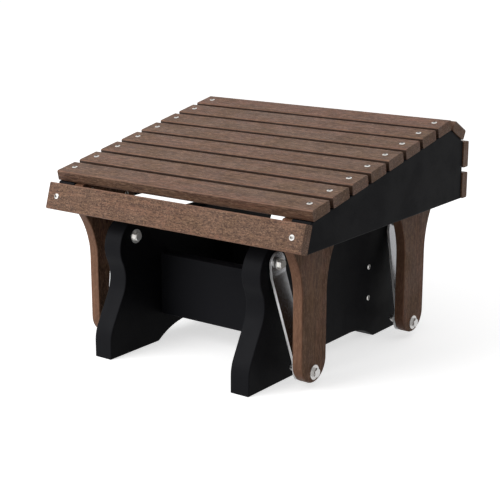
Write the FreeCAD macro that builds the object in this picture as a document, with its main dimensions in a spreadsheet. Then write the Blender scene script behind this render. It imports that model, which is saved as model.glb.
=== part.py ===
# Glider ottoman of plastic lumber: a slatted seat box on four hanger legs,
# swung from a low base by four bent steel arms. Millimetres, +Z up.
# X runs along the slats, +Y points to the high end of the seat, Z = 0 is the floor.
import FreeCAD, Part
import os
from math import hypot, sqrt

import Sketcher

SLAT_COUNT = 8
RIGHT = 1
LEFT = -1
FRONT = -1
REAR = 1
SIDES = (("left", LEFT), ("right", RIGHT))
ENDS = (("front", FRONT), ("rear", REAR))
# How far a drill runs past the faces it goes through, and the distance at which places are the same
THROUGH = 5.0
SAME = 1e-3

SIZES = (
    # Seat boards
    ("slat_length", 546.0),
    ("slat_width", 48.0),
    ("slat_thickness", 19.0),
    ("slat_gap", 10.0),
    ("slat_edge_radius", 3.0),
    ("seat_slope", 10.8),
    ("apron_lean", 17.5),
    ("crest_fall", 29.0),
    # Side rails of the seat
    ("rail_thickness", 38.0),
    ("rail_inset", 2.0),
    ("rail_bottom_height", 252.0),
    ("rail_edge_radius", 2.0),
    ("apron_seat_margin", 4.3),
    ("slat_seat_margin", 1.5),
    ("crest_seat_margin", 5.0),
    # Hanger legs
    ("leg_width", 72.4),
    ("leg_thickness", 19.0),
    ("leg_foot_height", 11.5),
    ("leg_flare_start", 160.0),
    ("leg_flare_radius", 147.86),
    ("leg_top_gap", 2.0),
    ("leg_shoulder_radius", 12.0),
    ("leg_edge_radius", 2.0),
    ("front_leg_margin", 0.7),
    ("rear_leg_margin", 31.1),
    # Base
    ("panel_thickness", 38.0),
    ("panel_height", 244.3),
    ("panel_edge_radius", 2.0),
    ("horn_overhang", 41.5),
    ("horn_radius", 51.3),
    ("saddle_depth", 13.0),
    ("waist_radius", 65.0),
    ("shin_lean", 28.4),
    ("toe_overhang", 31.0),
    ("toe_height", 28.0),
    ("toe_radius", 65.0),
    ("foot_length", 130.5),
    ("foot_corner_radius", 8.0),
    ("arch_height", 26.7),
    ("arch_run", 85.9),
    ("stretcher_height", 115.0),
    ("stretcher_thickness", 25.0),
    ("stretcher_bottom_height", 51.0),
    ("stretcher_setback", 22.4),
    ("stretcher_edge_radius", 2.0),
    # Swing arms and their pivots
    ("upper_pivot_height", 211.5),
    ("lower_pivot_height", 29.3),
    ("arm_splay", 23.3),
    ("arm_width", 38.0),
    ("arm_thickness", 4.8),
    ("arm_offset", 31.0),
    ("arm_bend_distance", 20.0),
    ("arm_bend_radius", 6.0),
    ("bushing_diameter", 20.0),
    ("upper_bushing_length", 2.0),
    ("lower_bushing_length", 6.0),
    ("spigot_diameter", 15.0),
    ("pivot_bolt_diameter", 9.5),
    ("hex_across_flats", 14.3),
    ("hex_head_height", 6.1),
    ("lock_nut_height", 11.0),
    ("lock_nut_collar_height", 3.0),
    ("lock_nut_collar_diameter", 12.6),
    ("bolt_end_length", 2.5),
    ("washer_thickness", 1.6),
    ("small_washer_diameter", 20.6),
    ("large_washer_diameter", 25.4),
    ("side_play", 0.3),
    ("fit_clearance", 0.05),
    ("open_pivot_clearance", 1.4),
    # Screws
    ("screw_diameter", 4.8),
    ("screw_length", 45.0),
    ("screw_head_diameter", 9.6),
    ("screw_head_height", 2.0),
    ("screw_rim_height", 0.5),
    ("screw_socket_width", 2.6),
    ("screw_socket_depth", 1.5),
    ("leg_screw_length", 35.0),
    ("leg_screw_spread", 90.0),
    ("leg_screw_pitch", 22.0),
    ("leg_screw_height", 14.0),
    ("stretcher_screw_length", 76.0),
    ("stretcher_screw_pitch", 58.8),
)

# Places worked out from the sizes. Y is measured from the middle of the base until
# the last two, which bring the whole part over its origin.
PLACES = (
    ("slat_pitch", "Sizes.slat_width + Sizes.slat_gap"),
    ("slat_half", "Sizes.slat_width / 2"),
    ("rail_middle", "Sizes.slat_length / 2 - Sizes.rail_inset - Sizes.rail_thickness / 2"),
    ("leg_outer", "Sizes.slat_length / 2 - Sizes.rail_inset - Sizes.rail_thickness"),
    ("leg_inner", "Places.leg_outer - Sizes.leg_thickness"),
    # The plates of the swing arms, in X, and the base panels behind them
    ("arm_lower_inner", "Places.leg_inner - Sizes.side_play - Sizes.lower_bushing_length"
                       " - Sizes.arm_thickness"),
    ("arm_upper_inner", "Places.arm_lower_inner - Sizes.arm_offset"),
    ("panel_outer", "Places.arm_upper_inner - Sizes.side_play - Sizes.washer_thickness"),
    ("panel_inner", "Places.panel_outer - Sizes.panel_thickness"),
    ("panel_middle", "Places.panel_outer - Sizes.panel_thickness / 2"),
    # Side rail outline
    ("front_edge_length", "Sizes.slat_width + Sizes.apron_seat_margin"),
    ("top_edge_length", f"{SLAT_COUNT} * Places.slat_pitch - Sizes.slat_gap + 2 * Sizes.slat_seat_margin"),
    ("crest_edge_length", "Sizes.slat_width + 2 * Sizes.crest_seat_margin"),
    ("top_run", "Places.top_edge_length * cos(Sizes.seat_slope)"),
    ("crest_run", "Places.crest_edge_length * cos(Sizes.crest_fall)"),
    ("flare_run", "Sizes.leg_flare_radius - sqrt(Sizes.leg_flare_radius ^ 2"
                  " - (Sizes.rail_bottom_height - Sizes.leg_flare_start) ^ 2)"),
    ("leg_top_half", "Sizes.leg_width / 2 + Places.flare_run"),
    ("lower_half", "(Places.top_run + Places.crest_run - Sizes.front_leg_margin"
                   " - Sizes.rear_leg_margin) / 2 - Places.leg_top_half"),
    ("upper_half", "Places.lower_half + Sizes.arm_splay"),
    ("nose_y", "-Places.lower_half - Places.leg_top_half - Sizes.front_leg_margin"),
    ("nose_z", "Sizes.rail_bottom_height + Places.front_edge_length * cos(Sizes.apron_lean)"),
    ("rail_front_y", "Places.nose_y - Places.front_edge_length * sin(Sizes.apron_lean)"),
    ("crest_y", "Places.nose_y + Places.top_run"),
    ("crest_z", "Places.nose_z + Places.top_edge_length * sin(Sizes.seat_slope)"),
    ("heel_y", "Places.crest_y + Places.crest_run"),
    ("heel_z", "Places.crest_z - Places.crest_edge_length * sin(Sizes.crest_fall)"),
    # Hanger leg outline, from the leg's own middle; its top keeps a gap below the slats
    ("leg_half", "Sizes.leg_width / 2"),
    ("leg_round_z", "Sizes.leg_foot_height + Places.leg_half"),
    ("leg_ceiling", "Places.nose_z - Sizes.leg_top_gap / cos(Sizes.seat_slope)"),
    ("front_leg_rise", "Sizes.front_leg_margin * tan(Sizes.seat_slope)"),
    ("rear_leg_rise", "(2 * Places.lower_half + Sizes.front_leg_margin) * tan(Sizes.seat_slope)"),
    ("leg_top_rise", "2 * Places.leg_top_half * tan(Sizes.seat_slope)"),
    ("front_leg_front_z", "Places.leg_ceiling + Places.front_leg_rise"),
    ("front_leg_back_z", "Places.front_leg_front_z + Places.leg_top_rise"),
    ("rear_leg_front_z", "Places.leg_ceiling + Places.rear_leg_rise"),
    ("rear_leg_back_z", "Places.heel_z + Sizes.rear_leg_margin * tan(Sizes.crest_fall)"
                        " - Sizes.leg_top_gap / cos(Sizes.crest_fall)"),
    ("crest_miter", "Sizes.leg_top_gap / (1 + cos(Sizes.seat_slope + Sizes.crest_fall))"),
    ("rear_leg_crest_y", "Places.crest_y - Places.lower_half"
                         " - Places.crest_miter * (sin(Sizes.crest_fall) - sin(Sizes.seat_slope))"),
    ("rear_leg_crest_z", "Places.crest_z"
                         " - Places.crest_miter * (cos(Sizes.crest_fall) + cos(Sizes.seat_slope))"),
    # Base panel outline
    ("horn_front", "Places.upper_half + Sizes.horn_overhang"),
    ("toe_front", "Places.horn_front + Sizes.toe_overhang"),
    ("foot_inner", "Places.toe_front - Sizes.foot_length"),
    ("arch_flat", "Places.foot_inner - Sizes.arch_run"),
    ("arch_radius", "(Sizes.arch_run ^ 2 + Sizes.arch_height ^ 2) / (2 * Sizes.arch_height)"),
    ("horn_y", "Places.horn_front - Sizes.horn_radius"),
    ("horn_z", "Sizes.panel_height - Sizes.horn_radius"),
    ("saddle_radius", "(Places.horn_y ^ 2 + Sizes.saddle_depth ^ 2) / (2 * Sizes.saddle_depth)"
                      " - Sizes.horn_radius"),
    ("saddle_share", "Sizes.horn_radius / (Sizes.horn_radius + Places.saddle_radius)"),
    ("saddle_end_y", "Places.horn_y * (1 - Places.saddle_share)"),
    ("saddle_end_z", "Places.horn_z + Places.saddle_share"
                     " * (Sizes.horn_radius + Places.saddle_radius - Sizes.saddle_depth)"),
    ("toe_y", "Places.toe_front - Sizes.toe_radius"),
    ("horn_to_waist", "Sizes.horn_radius + Sizes.waist_radius"),
    ("waist_across", "(Places.toe_y - Places.horn_y) * cos(Sizes.shin_lean) + Sizes.toe_radius"
                     " + (Sizes.toe_height - Places.horn_z) * sin(Sizes.shin_lean) + Sizes.waist_radius"),
    ("waist_down", "sqrt(Places.horn_to_waist ^ 2 - Places.waist_across ^ 2)"),
    ("waist_y", "Places.horn_y + Places.waist_across * cos(Sizes.shin_lean)"
                " + Places.waist_down * sin(Sizes.shin_lean)"),
    ("waist_z", "Places.horn_z + Places.waist_across * sin(Sizes.shin_lean)"
                " - Places.waist_down * cos(Sizes.shin_lean)"),
    ("horn_share", "Sizes.horn_radius / Places.horn_to_waist"),
    ("horn_end_y", "Places.horn_y + (Places.waist_y - Places.horn_y) * Places.horn_share"),
    ("horn_end_z", "Places.horn_z + (Places.waist_z - Places.horn_z) * Places.horn_share"),
    ("shin_top_y", "Places.waist_y - Sizes.waist_radius * cos(Sizes.shin_lean)"),
    ("shin_top_z", "Places.waist_z - Sizes.waist_radius * sin(Sizes.shin_lean)"),
    ("shin_end_y", "Places.toe_y + Sizes.toe_radius * cos(Sizes.shin_lean)"),
    ("shin_end_z", "Sizes.toe_height + Sizes.toe_radius * sin(Sizes.shin_lean)"),
    ("stretcher_y", "Places.foot_inner - Sizes.stretcher_setback"),
    ("stretcher_half", "Sizes.stretcher_thickness / 2"),
    ("stretcher_half_height", "Sizes.stretcher_height / 2"),
    ("stretcher_z", "Sizes.stretcher_bottom_height + Sizes.stretcher_height / 2"),
    # Swing arms, from the upper pivot down
    ("arm_drop", "Sizes.upper_pivot_height - Sizes.lower_pivot_height"),
    ("arm_length", "sqrt(Places.arm_drop ^ 2 + Sizes.arm_splay ^ 2)"),
    ("arm_lean", "atan2(Sizes.arm_splay; Places.arm_drop)"),
    ("arm_offset_outer", "Sizes.arm_offset + Sizes.arm_thickness"),
    ("arm_half", "Sizes.arm_width / 2"),
    ("arm_tip_z", "-Places.arm_length - Places.arm_half"),
    ("arm_bend", "atan2(Sizes.arm_offset; Places.arm_length - 2 * Sizes.arm_bend_distance)"),
    ("bend_shift", "Sizes.arm_thickness * tan(Places.arm_bend / 2)"),
    ("upper_bend_z", "-Sizes.arm_bend_distance"),
    ("lower_bend_z", "Sizes.arm_bend_distance - Places.arm_length"),
    ("upper_bend_outer_z", "Places.upper_bend_z + Places.bend_shift"),
    ("lower_bend_outer_z", "Places.lower_bend_z + Places.bend_shift"),
    ("strip_top_z", "Sizes.arm_width"),
    ("strip_bottom_z", "-Places.arm_length - Sizes.arm_width"),
    # Holes and small hardware
    ("screw_hole_radius", "Sizes.screw_diameter / 2 + Sizes.fit_clearance"),
    ("bolt_hole_radius", "Sizes.pivot_bolt_diameter / 2 + Sizes.fit_clearance"),
    ("spigot_hole_radius", "Sizes.spigot_diameter / 2 + Sizes.fit_clearance"),
    ("open_bore_radius", "Sizes.pivot_bolt_diameter / 2 + Sizes.open_pivot_clearance"),
    ("hex_corner_radius", "Sizes.hex_across_flats / 2 / cos(30)"),
    ("nut_hex_height", "Sizes.lock_nut_height - Sizes.lock_nut_collar_height"),
    ("dome_height", "Sizes.screw_head_height - Sizes.screw_rim_height"),
    ("dome_radius", "(Sizes.screw_head_diameter ^ 2 / 4 + Places.dome_height ^ 2)"
                    " / (2 * Places.dome_height)"),
    # Pivot stacks, in X
    ("upper_bushing_end", "Places.arm_upper_inner + Sizes.arm_thickness + Sizes.upper_bushing_length"),
    ("upper_outer_seat", "Places.upper_bushing_end + Sizes.side_play + Sizes.washer_thickness"),
    ("upper_inner_seat", "Places.panel_inner - Sizes.washer_thickness"),
    ("upper_bolt_length", "Places.upper_outer_seat - Places.upper_inner_seat + Sizes.lock_nut_height"
                          " + Sizes.bolt_end_length"),
    ("lower_head_seat", "Places.leg_outer + Sizes.washer_thickness"),
    ("lower_nut_seat", "Places.arm_lower_inner - Sizes.side_play - Sizes.washer_thickness"),
    ("lower_bolt_length", "Places.lower_head_seat - Places.lower_nut_seat + Sizes.lock_nut_height"
                          " + Sizes.bolt_end_length"),
    # Depth of the whole part and the middle of its base
    ("front_extreme", "Places.rail_front_y + Sizes.slat_edge_radius * (sin(Sizes.apron_lean) - 1)"
                      " - (Sizes.slat_thickness - Sizes.slat_edge_radius) * cos(Sizes.apron_lean)"),
    ("back_extreme", "Places.heel_y + Sizes.slat_thickness + Sizes.screw_head_height"),
    ("middle_y", "-(Places.front_extreme + Places.back_extreme) / 2"),
)

doc = FreeCAD.newDocument("glider_ottoman")
sizes = doc.addObject("Spreadsheet::Sheet", "Sizes")
for row, (name, value) in enumerate(SIZES, 1):
    sizes.set(f"A{row}", name)
    sizes.set(f"B{row}", str(value))
    sizes.setAlias(f"B{row}", name)
doc.recompute()

places = doc.addObject("App::VarSet", "Places")
for name, formula in PLACES:
    places.addProperty("App::PropertyFloat", name)
    places.setExpression(name, formula)
doc.recompute()

parts = {}


def measure(value):
    """The number behind a signed name such as -Places.heel_y, for a sketch's first guess."""
    sign = -1.0 if value.startswith("-") else 1.0
    owner, _, name = value.lstrip("-").partition(".")
    if owner == "Sizes":
        return sign * float(sizes.get(name))
    if owner == "Places":
        return sign * float(getattr(places, name))
    return float(value)


def keep(label, feature):
    """Registers one finished sub-part under its own name."""
    feature.Label = label
    parts[label] = feature
    return feature


def placed(feature, x, y, z, turn_x="0", turn_z="0"):
    """Binds a placement: first a turn about Z, then one about X, then the move."""
    spin = f"rotation(vector(1; 0; 0); {turn_x}) * rotation(vector(0; 0; 1); {turn_z})"
    feature.setExpression("Placement", f"placement(vector({x}; {y}; {z}); {spin})")
    return feature


def sketch_on(body, role):
    """A sketch on one of the body's own origin planes."""
    sketch = body.newObject("Sketcher::SketchObject", f"{body.Name}_{role}")
    plane = next(item for item in body.Origin.OriginFeatures if item.Role == role)
    sketch.AttachmentSupport = [(plane, "")]
    sketch.MapMode = "FlatFace"
    return sketch


def arc_between(start, end, radius, bulge):
    """The shorter arc from start to end: bulge 1 keeps its centre on the left, -1 on the right."""
    chord = hypot(end[0] - start[0], end[1] - start[1])
    reach = sqrt(max(radius ** 2 - chord ** 2 / 4, 0.0)) * bulge
    across = (-(end[1] - start[1]) / chord, (end[0] - start[0]) / chord)
    centre = [(start[axis] + end[axis]) / 2 + across[axis] * reach for axis in range(2)]
    middle = [centre[axis] - across[axis] * radius * bulge for axis in range(2)]
    points = (start, middle, end) if bulge > 0 else (end, middle, start)
    return Part.Arc(*(FreeCAD.Vector(*point, 0) for point in points))


def outline(sketch, corners, arcs=None):
    """A closed outline, anticlockwise, through corners named by their two signed values.

    arcs maps the number of a side to its radius and its bulge; the other sides are straight.
    """
    arcs = arcs or {}
    points = [(measure(across), measure(up)) for across, up in corners]
    ends = []
    for number, start in enumerate(points):
        end = points[(number + 1) % len(points)]
        if number in arcs:
            radius, bulge = arcs[number]
            side = sketch.addGeometry(arc_between(start, end, measure(radius), bulge))
            limit = sketch.addConstraint(Sketcher.Constraint("Radius", side, measure(radius)))
            sketch.setExpression(f"Constraints[{limit}]", radius)
            ends.append((1, 2) if bulge > 0 else (2, 1))
        else:
            line = Part.LineSegment(FreeCAD.Vector(*start, 0), FreeCAD.Vector(*end, 0))
            sketch.addGeometry(line)
            ends.append((1, 2))
    for number, (across, up) in enumerate(corners):
        before = number - 1 if number else len(corners) - 1
        first, last = ends[number][0], ends[before][1]
        sketch.addConstraint(Sketcher.Constraint("Coincident", before, last, number, first))
        for kind, value in (("DistanceX", across), ("DistanceY", up)):
            limit = sketch.addConstraint(Sketcher.Constraint(kind, number, first, measure(value)))
            sketch.setExpression(f"Constraints[{limit}]", value)


def pad(body, sketch, length, both_ways=False):
    """Pads a sketch by a bound length, along its normal or half to each side."""
    feature = body.newObject("PartDesign::Pad", f"{body.Name}_pad")
    feature.Profile = sketch
    feature.Midplane = both_ways
    feature.setExpression("Length", length)
    return feature


def edge_names(shape, wanted):
    """Names of the edges for which wanted is true."""
    return [f"Edge{number}" for number, edge in enumerate(shape.Edges, 1) if wanted(edge)]


def round_edges(body, base, radius, wanted):
    """Rounds the base feature's wanted edges."""
    doc.recompute()
    feature = body.newObject("PartDesign::Fillet", f"{body.Name}_rounding")
    feature.Base = (base, edge_names(base.Shape, wanted))
    feature.setExpression("Radius", radius)
    return feature


def drill(x, y, z, radius, length, turn_x="0", turn_y="0"):
    """A bound cylinder that starts at a point and runs along +Z before it is turned."""
    tool = doc.addObject("Part::Cylinder", "drill")
    tool.setExpression("Radius", radius)
    tool.setExpression("Height", length)
    spin = f"rotation(vector(1; 0; 0); {turn_x}) * rotation(vector(0; 1; 0); {turn_y})"
    tool.setExpression("Placement", f"placement(vector({x}; {y}; {z}); {spin})")
    return tool


def drilled(label, blank, drills):
    """The blank with all its holes, as one finished sub-part."""
    tools = doc.addObject("Part::Compound", f"{label}_drills")
    tools.Links = drills
    cut = doc.addObject("Part::Cut", label)
    cut.Base = blank
    cut.Tool = tools
    return keep(label, cut)


def group(label, members):
    """Separate like solids kept together under one name."""
    compound = doc.addObject("Part::Compound", label)
    compound.Links = members
    return keep(label, compound)


def copy_of(template):
    """Another of the same piece, with a placement of its own."""
    link = doc.addObject("App::Link", f"{template.Name}_copy")
    link.LinkedObject = template
    link.LinkTransform = False
    return link


def seat_boards():
    """Name, place in Y and Z of the outer face's middle, and turn about X of every seat board."""
    boards = []
    lean = "Sizes.apron_lean"
    boards.append((
        "front_apron",
        f"Places.rail_front_y + Sizes.slat_width / 2 * sin({lean}) - Sizes.slat_thickness * cos({lean})",
        f"Sizes.rail_bottom_height + Sizes.slat_width / 2 * cos({lean}) + Sizes.slat_thickness * sin({lean})",
        "90 - Sizes.apron_lean",
    ))
    slope = "Sizes.seat_slope"
    for number in range(SLAT_COUNT):
        along = f"(Sizes.slat_seat_margin + {number} * Places.slat_pitch + Sizes.slat_width / 2)"
        boards.append((
            f"seat_slat_{number + 1}",
            f"Places.nose_y + {along} * cos({slope}) - Sizes.slat_thickness * sin({slope})",
            f"Places.nose_z + {along} * sin({slope}) + Sizes.slat_thickness * cos({slope})",
            slope,
        ))
    fall = "Sizes.crest_fall"
    boards.append((
        "back_slat_slanted",
        f"Places.crest_y + Places.crest_edge_length / 2 * cos({fall}) + Sizes.slat_thickness * sin({fall})",
        f"Places.crest_z - Places.crest_edge_length / 2 * sin({fall}) + Sizes.slat_thickness * cos({fall})",
        f"-{fall}",
    ))
    for number, name in enumerate(("back_slat_lower", "back_slat_upper")):
        boards.append((
            name,
            "Places.heel_y + Sizes.slat_thickness",
            f"Sizes.rail_bottom_height + Sizes.slat_width / 2 + {number} * Places.slat_pitch",
            "-90",
        ))
    return boards


def board_point(board, inward):
    """Y and Z of the point that lies inward of the middle of a board's outer face."""
    _, across, up, turn = board
    y = f"Places.middle_y + {across} + ({inward}) * sin({turn})"
    z = f"{up} - ({inward}) * cos({turn})"
    return y, z


def lies_along_x(edge):
    """True for a straight edge parallel to X."""
    return edge.BoundBox.YLength < SAME and edge.BoundBox.ZLength < SAME


def make_board(board):
    """One seat board: a rounded plank with a screw hole over each side rail."""
    name, _, _, turn = board
    body = doc.addObject("PartDesign::Body", f"{name}_plank")
    profile = sketch_on(body, "YZ_Plane")
    half, deep = "Places.slat_half", "-Sizes.slat_thickness"
    outline(profile, ((f"-{half}", deep), (half, deep), (half, "0"), (f"-{half}", "0")))
    plank = pad(body, profile, "Sizes.slat_length", both_ways=True)
    round_edges(body, plank, "Sizes.slat_edge_radius", lies_along_x)
    y, z = board_point(board, "0")
    placed(body, "0", y, z, turn)
    start_y, start_z = board_point(board, f"Sizes.slat_thickness + {THROUGH}")
    holes = []
    for _, side in SIDES:
        holes.append(drill(
            f"{side} * Places.rail_middle", start_y, start_z,
            "Places.screw_hole_radius", f"Sizes.slat_thickness + {2 * THROUGH}", turn,
        ))
    return drilled(name, body, holes)


def lies_on_flat_side(edge):
    """True for an edge that stays at one X, so it borders a panel's flat side."""
    return edge.BoundBox.XLength < SAME


def make_rail(label, side, boards):
    """A side rail of the seat, with pilot holes for the boards' and the legs' screws."""
    body = doc.addObject("PartDesign::Body", f"{label}_blank")
    profile = sketch_on(body, "YZ_Plane")
    outline(profile, (
        ("Places.rail_front_y", "Sizes.rail_bottom_height"),
        ("Places.heel_y", "Sizes.rail_bottom_height"),
        ("Places.heel_y", "Places.heel_z"),
        ("Places.crest_y", "Places.crest_z"),
        ("Places.nose_y", "Places.nose_z"),
    ))
    blank = pad(body, profile, "Sizes.rail_thickness", both_ways=True)
    round_edges(body, blank, "Sizes.rail_edge_radius", lies_on_flat_side)
    middle = f"{side} * Places.rail_middle"
    placed(body, middle, "Places.middle_y", "0")
    pilots = []
    for board in boards:
        y, z = board_point(board, "Sizes.screw_length")
        pilots.append(drill(middle, y, z, "Places.screw_hole_radius", "Sizes.screw_length", board[3]))
    for y, z in leg_screw_points():
        pilots.append(drill(
            f"{side} * Places.leg_inner", y, z,
            "Places.screw_hole_radius", "Sizes.leg_screw_length", turn_y=f"{side * 90}",
        ))
    return drilled(label, body, pilots)


def leg_screw_points():
    """Y and Z of the screws that hold the hanger legs to one side rail."""
    points = []
    for _, end in ENDS:
        for across in (-1, 1):
            for up in range(2):
                points.append((
                    f"Places.middle_y + {end} * Places.lower_half + {across} * Sizes.leg_screw_spread / 2",
                    f"Sizes.rail_bottom_height + Sizes.leg_screw_height + {up} * Sizes.leg_screw_pitch",
                ))
    return points


def make_leg(end_name, end, side_name, side):
    """A hanger leg: round foot, straight shank, flared top cut to the slope of the seat."""
    label = f"hanger_leg_{end_name}_{side_name}"
    body = doc.addObject("PartDesign::Body", f"{label}_blank")
    profile = sketch_on(body, "YZ_Plane")
    rear_side = (
        ("0", "Sizes.leg_foot_height"),
        ("Places.leg_half", "Places.leg_round_z"),
        ("Places.leg_half", "Sizes.leg_flare_start"),
        ("Places.leg_top_half", "Sizes.rail_bottom_height"),
        ("Places.leg_top_half", f"Places.{end_name}_leg_back_z"),
    )
    crest = (("Places.rear_leg_crest_y", "Places.rear_leg_crest_z"),) if end == REAR else ()
    front_side = (
        ("-Places.leg_top_half", f"Places.{end_name}_leg_front_z"),
        ("-Places.leg_top_half", "Sizes.rail_bottom_height"),
        ("-Places.leg_half", "Sizes.leg_flare_start"),
        ("-Places.leg_half", "Places.leg_round_z"),
    )
    corners = rear_side + crest + front_side
    outline(profile, corners, {
        0: ("Places.leg_half", 1),
        2: ("Sizes.leg_flare_radius", -1),
        len(corners) - 3: ("Sizes.leg_flare_radius", -1),
        len(corners) - 1: ("Places.leg_half", 1),
    })
    blank = pad(body, profile, "Sizes.leg_thickness", both_ways=True)
    shoulder = measure("Sizes.rail_bottom_height")
    eased = round_edges(body, blank, "Sizes.leg_shoulder_radius", lambda edge: (
        lies_along_x(edge) and abs(edge.BoundBox.Center.z - shoulder) < SAME
    ))
    round_edges(body, eased, "Sizes.leg_edge_radius", lies_on_flat_side)
    middle = f"{side} * (Places.leg_inner + Places.leg_outer) / 2"
    y = f"Places.middle_y + {end} * Places.lower_half"
    placed(body, middle, y, "0")
    start = f"{side} * (Places.leg_inner - {THROUGH})"
    length = f"Sizes.leg_thickness + {2 * THROUGH}"
    turn = f"{side * 90}"
    holes = [drill(start, y, "Sizes.lower_pivot_height", "Places.bolt_hole_radius", length, turn_y=turn)]
    for screw_y, screw_z in leg_screw_points():
        if f"{end} * Places" in screw_y:
            holes.append(drill(start, screw_y, screw_z, "Places.screw_hole_radius", length, turn_y=turn))
    return drilled(label, body, holes)


def make_panel(label, side):
    """A base end panel: two horns with a saddle between them, two waists, two feet and a low arch."""
    body = doc.addObject("PartDesign::Body", f"{label}_blank")
    profile = sketch_on(body, "YZ_Plane")
    half = (
        ("Places.toe_front", "0"),
        ("Places.toe_front", "Sizes.toe_height"),
        ("Places.shin_end_y", "Places.shin_end_z"),
        ("Places.shin_top_y", "Places.shin_top_z"),
        ("Places.horn_end_y", "Places.horn_end_z"),
        ("Places.saddle_end_y", "Places.saddle_end_z"),
    )
    mirrored = tuple((f"-{across}", up) for across, up in reversed(half))
    arch = (
        ("-Places.foot_inner", "0"),
        ("-Places.arch_flat", "Sizes.arch_height"),
        ("Places.arch_flat", "Sizes.arch_height"),
        ("Places.foot_inner", "0"),
    )
    outline(profile, half + mirrored + arch, {
        1: ("Sizes.toe_radius", 1),
        3: ("Sizes.waist_radius", -1),
        4: ("Sizes.horn_radius", 1),
        5: ("Places.saddle_radius", -1),
        6: ("Sizes.horn_radius", 1),
        7: ("Sizes.waist_radius", -1),
        9: ("Sizes.toe_radius", 1),
        12: ("Places.arch_radius", -1),
        14: ("Places.arch_radius", -1),
    })
    blank = pad(body, profile, "Sizes.panel_thickness", both_ways=True)
    inner_corner = measure("Places.foot_inner")
    eased = round_edges(body, blank, "Sizes.foot_corner_radius", lambda edge: (
        lies_along_x(edge) and abs(abs(edge.BoundBox.Center.y) - inner_corner) < SAME
    ))
    round_edges(body, eased, "Sizes.panel_edge_radius", lies_on_flat_side)
    placed(body, f"{side} * Places.panel_middle", "Places.middle_y", "0")
    start = f"{side} * (Places.panel_inner - {THROUGH})"
    length = f"Sizes.panel_thickness + {2 * THROUGH}"
    turn = f"{side * 90}"
    holes = []
    for _, end in ENDS:
        y = f"Places.middle_y + {end} * Places.upper_half"
        holes.append(drill(
            start, y, "Sizes.upper_pivot_height", "Places.bolt_hole_radius", length, turn_y=turn,
        ))
    for y, z in stretcher_screw_points():
        holes.append(drill(start, y, z, "Places.screw_hole_radius", length, turn_y=turn))
    return drilled(label, body, holes)


def stretcher_screw_points():
    """Y and Z of the screws that hold both stretchers to one base panel."""
    points = []
    for _, end in ENDS:
        for up in (-1, 1):
            points.append((
                f"Places.middle_y + {end} * Places.stretcher_y",
                f"Places.stretcher_z + {up} * Sizes.stretcher_screw_pitch / 2",
            ))
    return points


def make_stretcher(end_name, end):
    """An upright board between the base panels, with pilot holes in both ends."""
    label = f"stretcher_{end_name}"
    body = doc.addObject("PartDesign::Body", f"{label}_blank")
    profile = sketch_on(body, "YZ_Plane")
    wide, high = "Places.stretcher_half", "Places.stretcher_half_height"
    outline(profile, ((f"-{wide}", f"-{high}"), (wide, f"-{high}"), (wide, high), (f"-{wide}", high)))
    blank = pad(body, profile, "2 * Places.panel_inner", both_ways=True)
    round_edges(body, blank, "Sizes.stretcher_edge_radius", lies_along_x)
    placed(body, "0", f"Places.middle_y + {end} * Places.stretcher_y", "Places.stretcher_z")
    pilots = []
    for y, z in stretcher_screw_points():
        if f"{end} * Places" in y:
            for _, side in SIDES:
                start = f"{side} * (Places.panel_outer - Sizes.stretcher_screw_length)"
                pilots.append(drill(
                    start, y, z, "Places.screw_hole_radius",
                    "Sizes.stretcher_screw_length", turn_y=f"{side * 90}",
                ))
    return drilled(label, body, pilots)


def make_arm(end_name, end, side_name, side):
    """A swing arm: a flat bar with two bends and round ends, bored for its two bushings."""
    label = f"swing_arm_{end_name}_{side_name}"
    strip = doc.addObject("PartDesign::Body", f"{label}_strip")
    bent = sketch_on(strip, "XZ_Plane")
    outline(bent, (
        ("0", "Places.strip_top_z"),
        ("0", "Places.upper_bend_z"),
        ("Sizes.arm_offset", "Places.lower_bend_z"),
        ("Sizes.arm_offset", "Places.strip_bottom_z"),
        ("Places.arm_offset_outer", "Places.strip_bottom_z"),
        ("Places.arm_offset_outer", "Places.lower_bend_outer_z"),
        ("Sizes.arm_thickness", "Places.upper_bend_outer_z"),
        ("Sizes.arm_thickness", "Places.strip_top_z"),
    ))
    bar = pad(strip, bent, "2 * Sizes.arm_width", both_ways=True)
    doc.recompute()
    inside = (
        (measure("Sizes.arm_thickness"), measure("Places.upper_bend_outer_z")),
        (measure("Sizes.arm_offset"), measure("Places.lower_bend_z")),
    )
    outside = (
        (0.0, measure("Places.upper_bend_z")),
        (measure("Places.arm_offset_outer"), measure("Places.lower_bend_outer_z")),
    )
    tight = round_edges(strip, bar, "Sizes.arm_bend_radius", lambda edge: passes(edge, inside))
    wide_radius = "Sizes.arm_bend_radius + Sizes.arm_thickness"
    round_edges(strip, tight, wide_radius, lambda edge: passes(edge, outside))
    ends = doc.addObject("PartDesign::Body", f"{label}_ends")
    loop = sketch_on(ends, "YZ_Plane")
    half = "Places.arm_half"
    outline(loop, (
        (half, "0"), ("0", half), (f"-{half}", "0"),
        (f"-{half}", "-Places.arm_length"), ("0", "Places.arm_tip_z"), (half, "-Places.arm_length"),
    ), {0: (half, 1), 1: (half, 1), 3: (half, 1), 4: (half, 1)})
    pad(ends, loop, "4 * Places.arm_offset_outer", both_ways=True)
    plate = doc.addObject("Part::Common", f"{label}_plate")
    plate.Base = strip
    plate.Tool = ends
    y = f"Places.middle_y + {end} * Places.upper_half"
    turn_x = f"{-end} * Places.arm_lean"
    turn_z = "0" if side == RIGHT else "180"
    placed(plate, f"{side} * Places.arm_upper_inner", y, "Sizes.upper_pivot_height", turn_x, turn_z)
    holes = []
    for y, z in pivot_points(end):
        holes.append(drill(
            f"{side} * (Places.arm_upper_inner - {THROUGH})", y, z,
            "Places.spigot_hole_radius", f"Places.arm_offset_outer + {2 * THROUGH}", turn_y=f"{side * 90}",
        ))
    return drilled(label, plate, holes)


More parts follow.
